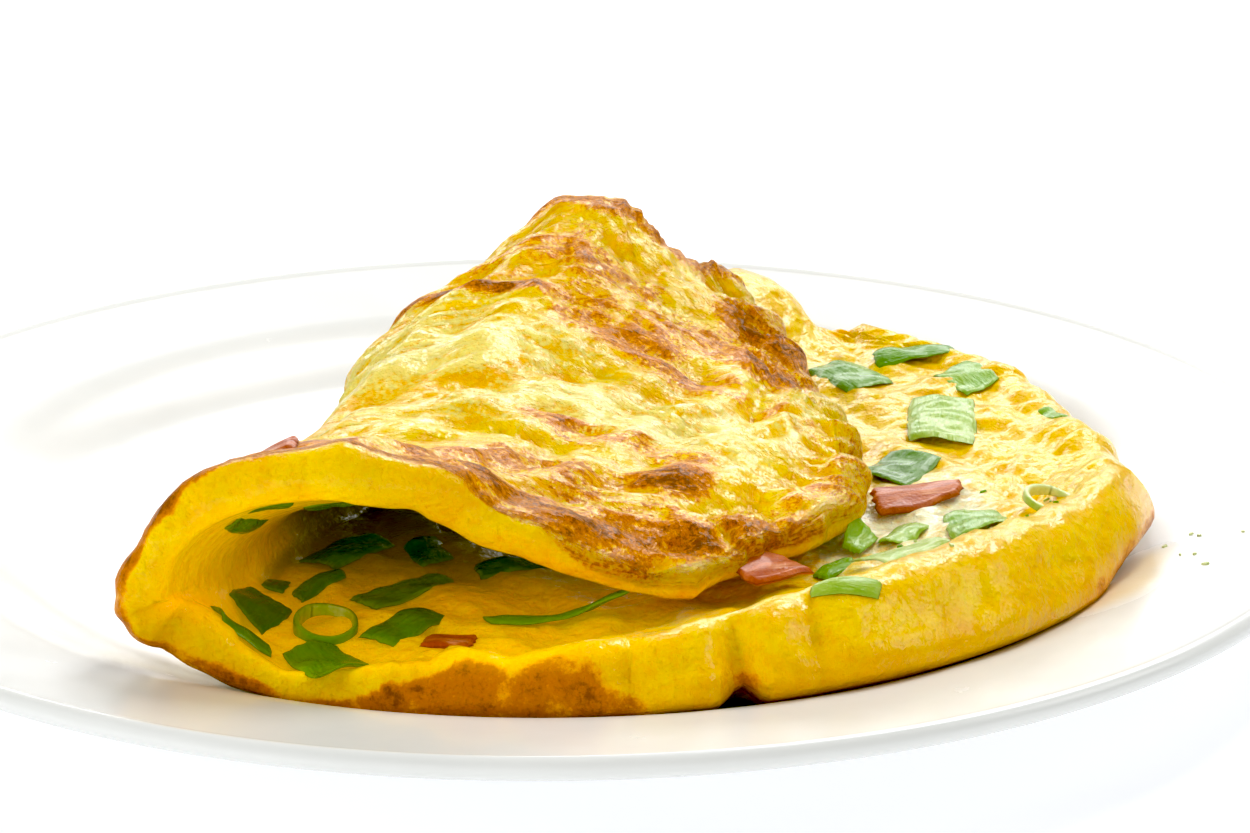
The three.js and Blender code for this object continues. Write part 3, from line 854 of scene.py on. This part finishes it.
def browning(p, part, along, turn, outside):
    """How browned the egg is: along the lines, on the side that lay in the pan, and at its edges."""
    across, back = sheet_place(part, along)
    lines = line_bumps(across, back, BROWNED)
    halo = [HALO * line for line in line_bumps(across, back, BROWNED, HALO_SPREAD)]
    hidden = PAN_SIDE * fall(part, 1.65, 0.3) * rise(along, 0.06, 0.12) * rise(part, 0.12, 0.1)
    brown = outside * np.maximum.reduce([*lines, *halo, hidden])

    # The front edge is fried up to a lip, scorched at its foot, and browned in the notch and at the tip.
    lip = 0.16 + 0.66 * bump(part, 0.75, 0.13) + 0.36 * bump(part, 1.5, 0.4) + 0.22 * bump(part, 1.02, 0.12)
    lip = lip + 0.12 * cloud(p, 9, 30) + 0.08 * cloud(p, 4, 31)
    fried = (0.92 + 0.6 * cloud(p, 6, 33)) * fall(turn, lip, 0.2)
    fried = fried * rise(part, 0.61, 0.04) * fall(part, 2.0, 0.2)
    scorched = 0.8 * fall(turn, 0.12, 0.08) * fall(part, 0.62, 0.1)
    torn = bump(part, NOTCH - 0.004, 0.012) * fall(turn, 0.34, 0.1)
    tip = 0.8 * fall(turn, 0.5, 0.3) * bump(part, 2.86, 0.12)
    front = fall(along, 0.035, 0.03) * np.maximum.reduce([fried, scorched, torn, tip])

    side = fall(part, 0.2, 0.15) * fall(turn, 0.34 + 0.1 * cloud(p, 5, 34), 0.12)
    return np.maximum.reduce([brown, (0.75 + 0.4 * cloud(p, 3, 35)) * side, front])


def egg_fields(p, places):
    """What the egg's material needs to know at each vertex."""
    part, along, turn = places["part"], places["along"], places["turn"]
    across, back = sheet_place(part, along)
    top_grain, side_grain, side_share = grain(p, part, along, 2.6)
    sides_apart = xyz(0, 0, 40 * turn)
    outside = 1 - rise(turn - 0.4 * rise(part, 2.55, 0.3), 0.06, 0.14)
    inside = rise(turn, 0.5, 0.4)
    in_roll = inside * rise(part, 0.55, 0.15)
    mouth = inside * bump(part, 1.28, 0.14) * bump(along, 0, 0.16)
    low_front = fall(turn, 0.55, 0.4) * rise(turn, 0.02, 0.05) * fall(part, 1.3, 0.2)
    past_mouth = rise(along, 0.13 + 0.08 * rise(part, 1.2, 0.2), 0.13)
    # Painted glow: emission inside the roll near its open end and in its mouth, for light through the thin
    # egg
    painted_glow = (0.32 * in_roll * bump(along, 0, 0.2) + 0.1 * mouth) * fall(part, 2.3, 0.4)
    return {
        "top_grain": (top_grain + sides_apart) * MM,
        "side_grain": (side_grain + sides_apart) * MM,
        "side_share": side_share,
        "brown": browning(p, part, along, turn, outside),
        "pale": outside * np.maximum.reduce(line_bumps(across, back, PALE)),
        # painted orange glow in the roll's mouth and painted warm shade low on the front edge
        "warm": np.maximum(mouth * (0.8 + 0.4 * cloud(p, 12, 32)), 0.4 * low_front),
        # milky places on the layer's top: partly the egg's milky white, partly painted glare
        "milky_glare": fall(part, 0.52, 0.14) * rise(part, 0.12, 0.1) * bump(along, 0.24, 0.13) * inside,
        "painted_glow": painted_glow,
        # painted shade: dark olive deep inside the roll, past its mouth
        "deep": 0.9 * in_roll * past_mouth * rise(part, 0.58, 0.1),
        "skin": outside,
        "ridge": np.clip(places["ridge"], -1.5, 1.5) * outside,
    }


sheet_vertices, sheet_faces, sheet_places = egg_sheet()
sheet_fields = egg_fields(sheet_vertices, sheet_places)
omelette = make("omelette_sheet", sheet_vertices, sheet_faces, egg_material(), sheet_fields)
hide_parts("omelette")
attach(omelette, "root")


# Plate

def plate_profile():
    """Radius and height of points from the middle below, round the foot and the lip, to the middle above."""
    under = FLOOR_HEIGHT - PLATE_THICKNESS
    inner_foot, outer_foot = FOOT_RADIUS - FOOT_WIDTH / 2, FOOT_RADIUS + FOOT_WIDTH / 2
    points = [(0, under), (inner_foot - 2, under), (inner_foot, 0.6), (inner_foot + FOOT_ROUNDING, 0)]
    points += [(outer_foot - FOOT_ROUNDING, 0), (outer_foot, 0.6), (outer_foot + 2, under + 0.2)]
    for share in np.linspace(0, 1, 25)[1:]:
        radius = mix(outer_foot + 2, PLATE_RADIUS - 2, share)
        points.append((radius, float(plate_top(radius - 1.5)) - PLATE_THICKNESS + 0.8 * share))
    for angle in np.radians(np.linspace(-70, 90, 12)):
        out, up = LIP_ROUNDING * math.cos(angle), LIP_ROUNDING * math.sin(angle)
        points.append((PLATE_RADIUS - LIP_ROUNDING + out, LIP_HEIGHT - LIP_ROUNDING + up))
    for radius in np.linspace(PLATE_RADIUS - 2.5, FLOOR_RADIUS - 6, 60):
        top = soft_plate_top if radius < PLATE_RADIUS - 8 else plate_top
        points.append((radius, float(top(radius))))
    points.append((0, FLOOR_HEIGHT))
    return points


def lathe(profile, sides):
    """Vertices and faces of a profile turned about Z; points on the axis become one vertex."""
    rings, vertices, faces = [], [], []
    turn = full_turn(sides)
    for radius, height in profile:
        start = len(vertices)
        if radius < 1e-9:
            vertices.append((0, 0, height))
            rings.append(np.full(sides, start))
        else:
            vertices.extend(zip(radius * np.cos(turn), radius * np.sin(turn), np.full(sides, height)))
            rings.append(start + np.arange(sides))
    for low, high in zip(rings, rings[1:]):
        band = quads(low, np.roll(low, -1), np.roll(high, -1), high).tolist()
        faces.extend(list(dict.fromkeys(quad)) for quad in band)
    return vertices, faces


plate_vertices, plate_faces = lathe(plate_profile(), PLATE_SIDES)
plate = make("plate_dish", plate_vertices, plate_faces, glaze_material())
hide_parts("plate")
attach(plate, "root")


# Filling: each piece is set on the fine sheet where its CAD node is.

SHEET = BVHTree.FromPolygons(sheet_vertices.tolist(), sheet_faces.tolist())
FIT = 0.97  # size of a fine piece against its CAD node
LEAF_THICKNESS = 0.6
HAM_THICKNESS = 1.4
SINK = 0.55  # how deep a piece's underside is pressed into the egg
REACH = 9  # how far the egg is looked for round a piece
FAR = 40  # distance taken where no egg is found
SLAB_COUNTS = (34, 26)  # mesh of a leaf or a slice, and of a ring
RING_COUNTS = (64, 20)
RING_WALL = 0.95
RING_SQUARE = 0.6  # power that squares off the wall's section; 1 is round
# Tone of each leaf, from 0, dark, to 1, white, and how much it arches, by number of its node
LAID = [
    (0.4, 0.5), (0.35, 0.3), (0.62, 0.6), (0.72, 1), (0.2, 0.5), (0.6, 0.9), (0.6, 0.3), (0.7, 0.7),
    (0.66, 0.4), (0.5, 0.5), (0.84, 1.2), (0.75, 0.3), (0.5, 0.3), (0.12, 0.8), (0.25, 0.5), (0.1, 0.8),
    (0.12, 0.8), (0.5, 0.6), (0.35, 0.8), (0.25, 0.8), (0.45, 0.8), (0.4, 1), (0.25, 0.3),
]
HUNG = [(0.25, 0.4), (0.2, 0.4), (0.3, 0.4)]
LEAVES = {f"scallion_{number}": look for number, look in enumerate(LAID, 1)}
LEAVES.update({f"scallion_roof_{number}": look for number, look in enumerate(HUNG, 1)})
RINGS = {"ring_1": (0.85, 1.0), "ring_2": (0.6, 0.85)}  # tones outside and inside
HAM_TAPERS = {"ham_1": 0.45, "ham_2": 0.2, "ham_3": 0.2, "ham_on_skin": 0.2}
HAM_SEED = 40
# Leaves laid over the rounded front edge
ON_THE_EDGE = {
    "scallion_11": {"sink": -0.4, "wavy": 0.3}, "scallion_12": {"sink": 0.1, "wavy": 0.15, "ragged": 0.15},
}


class Seat:
    """Where a CAD piece lies: its middle, its directions along, across and up from the egg, and its sizes."""

    def __init__(self, node):
        points = np.array([v.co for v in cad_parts[node].data.vertices]) / MM
        points = np.unique(points.round(3), axis=0)
        self.middle = (points.min(0) + points.max(0)) / 2
        turn = np.linalg.svd(points - points.mean(0), full_matrices=False)[2]
        self.ahead, self.up = turn[0], turn[2]
        faces_egg = self.distance(self.up) < self.distance(-self.up)
        if faces_egg if "roof" in node else self.up[2] < 0:
            self.up = -self.up
        self.aside = np.cross(self.up, self.ahead)
        axes = np.array([self.ahead, self.aside, self.up])
        spread = (points - self.middle) @ axes.T
        self.middle = self.middle + (spread.max(0) + spread.min(0)) / 2 @ axes
        self.length, self.width, self.height = np.ptp(spread, axis=0)

    def distance(self, toward):
        found = SHEET.ray_cast(Vector(self.middle), Vector(toward), FAR)[3]
        return FAR if found is None else found

    def at(self, p, q, h):
        p, q, h = (np.asarray(x, float)[..., None] for x in (p, q, h))
        return self.middle + p * self.ahead + q * self.aside + h * self.up

    def bed(self, length, width):
        """The egg's surface under the piece, smoothed: a function that gives its height at a place."""
        def terms(p, q):
            u, v = 2 * p / length, 2 * q / width
            return 1, u, v, u * u, u * v, v * v

        rows, values = [], []
        for p in np.linspace(-length / 2, length / 2, 7):
            for q in np.linspace(-width / 2, width / 2, 5):
                start = self.at(p, q, REACH / 2)
                found = SHEET.ray_cast(Vector(start), Vector(-self.up), 1.5 * REACH)[3]
                if found is not None:
                    rows.append(terms(p, q))
                    values.append(REACH / 2 - found)
        rows, values = np.array(rows), np.array(values)
        shape = np.linalg.lstsq(rows, values, rcond=0.01)[0]
        lift = np.quantile(values - rows @ shape, 0.9)

        def height(p, q):
            return lift + sum(k * term for k, term in zip(shape, terms(p, q)))

        return height


def slab(seat, thick, arch, seed, ragged=0.35, wavy=0.55, taper=0.0, rounding=9.0, sink=SINK):
    """A thin piece with soft cut edges that lies on its bed; vertices, faces and fields."""
    long, wide = seat.length * FIT, seat.width * FIT
    bed = seat.bed(long, wide)
    s, t = np.meshgrid(*(np.linspace(-1, 1, count) for count in SLAB_COUNTS), indexing="ij")
    rough = xyz(4 * s + 11 * seed, 4 * t, seed)
    slant = 0.3 * wide / 2 * math.sin(2.4 * seed)
    p = (long / 2 - abs(slant)) * s * (1 - 0.05 * t * t) + slant * t
    p = p + ragged * cloud(rough, 1.3, seed) * s**4
    q = wide / 2 * t * (1 - 0.1 * s * s) * (1 - taper * rise(s, -0.2, 1.2))
    q = q + 0.6 * ragged * cloud(rough, 1.7, seed + 1) * t**4
    base = bed(p, q) - sink + arch * (1 - t * t) + wavy * cloud(xyz(p, q, seed), 4.5, seed + 2)
    edge = np.maximum(np.abs(s), np.abs(t))
    top = base + thick * (1 - 0.5 * edge ** (2 * rounding))
    low = base + 0.35 * thick * edge**rounding
    inset = 1 - 0.02 * edge**rounding
    points = joined(seat.at(p * inset, q * inset, top), seat.at(p, q, low))
    number, faces = grid(*SLAB_COUNTS)
    rim = number[border_loop(*SLAB_COUNTS)]
    after = np.roll(rim, -1)
    sides = quads(rim, after, after + number.size, rim + number.size)
    faces = np.concatenate([flipped(faces), faces + number.size, sides])
    own = xyz(p / 5, q, 0)
    cut = rise(edge.ravel(), 0.88, 0.12)
    return points, faces, {"leaf": joined(own, own + (0, 0, 10)) * MM, "cut": np.tile(cut, 2)}


def add_piece(name, node, shape, material):
    made = make(name, *shape[:2], material, shape[2])
    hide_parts(node)
    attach(made, "root")


def superellipse(value):
    return np.sign(value) * np.abs(value) ** RING_SQUARE


def stalk_ring(seat, tones):
    """A short open tube of stalk, pale inside and green outside, slightly oval and uneven."""
    bed = seat.bed(seat.length * 0.8, seat.width * 0.8)
    around, over = np.meshgrid(*map(full_turn, RING_COUNTS), indexing="ij")
    square = superellipse(np.cos(over))
    out = 1 - RING_WALL / seat.length * (1 - square)
    p = seat.length / 2 * np.cos(around) * out * 0.98
    q = seat.width / 2 * np.sin(around) * out * 0.98
    tall = seat.height * (0.4 + 0.08 * np.sin(2 * around))
    lift = tall * superellipse(np.sin(over))
    wobble = 0.2 * cloud(xyz(p, q, 0), 3, 60)
    middle = 0.4 * seat.height - 0.8 + bed(0, 0)
    points = joined(seat.at(p + wobble, q + wobble, middle + lift))
    number = grid(*RING_COUNTS)[0]
    after, beyond = np.roll(number, -1, axis=0), np.roll(number, -1, axis=1)
    faces = quads(number, after, np.roll(after, -1, axis=1), beyond)
    inner = fall(square.ravel(), 0.3, 0.6)
    own = joined(xyz(around, lift / 6, 0)) * MM
    return points, faces, {"leaf": own, "cut": 0 * inner, "tone": mix(*tones, inner)}


LEAF = leaf_material()
for number, (node, (tone, arch)) in enumerate(LEAVES.items()):
    leaf = slab(Seat(node), LEAF_THICKNESS, arch, number, **ON_THE_EDGE.get(node, {}))
    leaf[2]["tone"] = np.full(len(leaf[0]), tone)
    add_piece(node.replace("scallion", "leaf"), node, leaf, LEAF)

for node, tones in RINGS.items():
    add_piece(node + "_stalk", node, stalk_ring(Seat(node), tones), LEAF)

HAM = ham_material()
for number, (node, taper) in enumerate(HAM_TAPERS.items(), HAM_SEED):
    seat = Seat(node)
    side = 1 if seat.ahead[0] > 0 else -1
    seat.ahead, seat.aside = side * seat.ahead, side * seat.aside
    look = {"ragged": 0.6, "wavy": 0.25, "taper": taper, "rounding": 10.0, "sink": 0.5}
    piece = slab(seat, min(HAM_THICKNESS, seat.height), 0, number, **look)
    add_piece(node + "_slice", node, piece, HAM)


# Flecks of chopped leaf on the egg and the plate, and a tinted pool by the tip

# Middle in x and y, spread and number of each patch of flecks
FLECKS_ON_EGG = [(64, -50, 11, 8), (70, -36, 10, 6), (56, -60, 8, 7)]
FLECKS_ON_PLATE = [(103, -34, 9, 7)]
FLECK_SIZE = (0.3, 0.8)
FLECK_CORNERS = 7
LEVEL = 0.75  # least upward share of the normal where a fleck lies on the egg
POOL_MIDDLE = (89, -46)
POOL_SIZE = (9, 22)
POOL_TURN = -27.6  # degrees, along the edge of the egg
POOL_DEPTH = 0.45
POOL_COUNTS = (14, 72)  # rings of its mesh, and points in each
POOL_INNER = 0.02  # size of its innermost ring


def drop_onto(tree, x, y):
    """Highest place of a surface at x and y, and its normal."""
    place, normal = tree.ray_cast(Vector((x, y, 80)), Vector((0, 0, -1)), 100)[:2]
    return (None, None) if place is None else (np.array(place), np.array(normal))


def flecks():
    """Small flat scraps of leaf, scattered round a few middles, as one mesh."""
    draw = np.random.default_rng(5)
    plate_tree = BVHTree.FromPolygons(plate_vertices, plate_faces)
    corners = np.arange(FLECK_CORNERS)
    after = np.roll(corners, -1)
    turn = full_turn(FLECK_CORNERS)[:, None]
    points, faces, tones = [], [], []
    for tree, patches in ((SHEET, FLECKS_ON_EGG), (plate_tree, FLECKS_ON_PLATE)):
        for x, y, spread, count in patches:
            for _ in range(count):
                place, normal = drop_onto(tree, *draw.normal((x, y), spread / 2))
                if place is None or (tree is SHEET and normal[2] < LEVEL):
                    continue
                size, thin = draw.uniform(*FLECK_SIZE), draw.uniform(0.35, 1)
                side = unit(np.cross(normal, draw.normal(size=3)))
                ahead = np.cross(normal, side)
                ring = size * (np.cos(turn) * side + thin * np.sin(turn) * ahead)
                ring = ring * draw.uniform(0.7, 1.2, (FLECK_CORNERS, 1))
                low = len(points) + corners
                high = low + FLECK_CORNERS
                points.extend(place + ring - 0.1 * normal)
                points.extend(place + 0.75 * ring + 0.3 * normal)
                faces.extend(quads(low, low[after], high[after], high).tolist())
                faces.extend([high.tolist(), low[::-1].tolist()])
                tones.extend([draw.uniform(0.4, 0.9) if tree is SHEET else 1.0] * 2 * FLECK_CORNERS)
    points = np.array(points)
    fields = {"tone": tones, "cut": np.zeros(len(points)), "leaf": points * MM}
    made = make("leaf_flecks", points, faces, LEAF, fields, smooth_faces=False)
    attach(made, "root")


def tinted_pool():
    """A thin pool that lies on the plate by the tip of the layer."""
    rings, sides = POOL_COUNTS
    share, turn = np.meshgrid(np.linspace(POOL_INNER, 1, rings), full_turn(sides), indexing="ij")
    uneven = 1 + 0.16 * cloud(xyz(3 * np.cos(turn), 3 * np.sin(turn), 0), 2.2, 50)
    wide, long = (size * share * uneven for size in POOL_SIZE)
    wide, long = wide * np.cos(turn), long * np.sin(turn)
    a = math.radians(POOL_TURN)
    x = POOL_MIDDLE[0] + wide * math.cos(a) - long * math.sin(a)
    y = POOL_MIDDLE[1] + wide * math.sin(a) + long * math.cos(a)
    dish = soft_plate_top(np.hypot(x, y))
    top = dish + POOL_DEPTH * (1 - share**2) ** 2 - 0.03
    points = joined(xyz(x, y, top), xyz(x, y, dish - 0.3))
    number = grid(rings, sides)[0]
    a, b = number[:-1], number[1:]
    upper = quads(a, b, np.roll(b, -1, axis=1), np.roll(a, -1, axis=1))
    shore, after = number[-1], np.roll(number[-1], -1)
    side = quads(shore, shore + number.size, after + number.size, after)
    faces = np.concatenate([upper, upper[:, ::-1] + number.size, side]).tolist()
    faces += [number[0].tolist(), (number[0] + number.size)[::-1].tolist()]
    made = make("tinted_pool", points, faces, pool_material(), {"shore": np.tile(share.ravel(), 2)})
    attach(made, "root")


flecks()
tinted_pool()


# Stage, in metres

FLOOR_REACH = 4
WORLD_STRENGTH = 0.24
# Name, place, target, size and power of each light, and whether wet surfaces mirror it
LIGHTS = [
    ("window", (0.42, 0.66, 1.0), (0, 0, 0.02), (0.45, 0.55), 10.5, True),
    ("back_light", (0.0, 1.25, 0.5), (0, 0, 0.03), (1.5, 0.3), 8, True),
    ("side_light", (0.8, -0.1, 0.5), (0.02, 0, 0.02), (0.4, 0.4), 1.3, True),
    ("front_light", (-0.1, -1.4, 0.3), (0, 0, 0.02), (1.2, 0.5), 4.6, False),
    ("sky_fill", (0.0, -0.1, 1.3), (0, 0, 0), (1.6, 1.6), 3.0, False),
    ("left_fill", (-0.8, -0.35, 0.5), (-0.02, 0, 0.03), (0.5, 0.5), 3.8, False),
]
BLACK = (0.014, 0.011, 0.030)  # the darkest value shown, as in a contrasty print
CAMERA_PLACE = (0.012, -0.5559, 0.2011)
CAMERA_TARGET = (0.012, 0.078, 0)
CAMERA_LENS = 100
CAMERA_SENSOR = 36


def floor():
    far = FLOOR_REACH / MM
    corners = [(-far, -far, 0), (far, -far, 0), (far, far, 0), (-far, far, 0)]
    made = make("floor", corners, [(0, 1, 2, 3)], floor_material())


def aimed(name, data, place, target):
    """An object of the stage that looks from a place at a target."""
    made = bpy.data.objects.new(name, data)
    made.location = place
    made.rotation_euler = (Vector(target) - Vector(place)).to_track_quat("-Z", "Y").to_euler()
    bpy.context.scene.collection.objects.link(made)
    return made


def studio():
    world = bpy.data.worlds.new("studio")
    world.use_nodes = True
    background = world.node_tree.nodes["Background"]
    background.inputs["Color"].default_value = (1, 1, 1, 1)
    background.inputs["Strength"].default_value = WORLD_STRENGTH
    bpy.context.scene.world = world
    for name, place, target, size, power, mirrored in LIGHTS:
        data = bpy.data.lights.new(name, "AREA")
        data.shape = "RECTANGLE"
        data.size, data.size_y = size
        data.energy = power
        aimed(name, data, place, target).visible_glossy = mirrored
    view = bpy.context.scene.view_settings
    view.view_transform = "Standard"
    view.use_curve_mapping = True
    view.curve_mapping.black_level = BLACK
    view.curve_mapping.update()


def camera():
    data = bpy.data.cameras.new("camera")
    data.lens = CAMERA_LENS
    data.sensor_width = CAMERA_SENSOR
    bpy.context.scene.camera = aimed("camera", data, CAMERA_PLACE, CAMERA_TARGET)


floor()
studio()
camera()
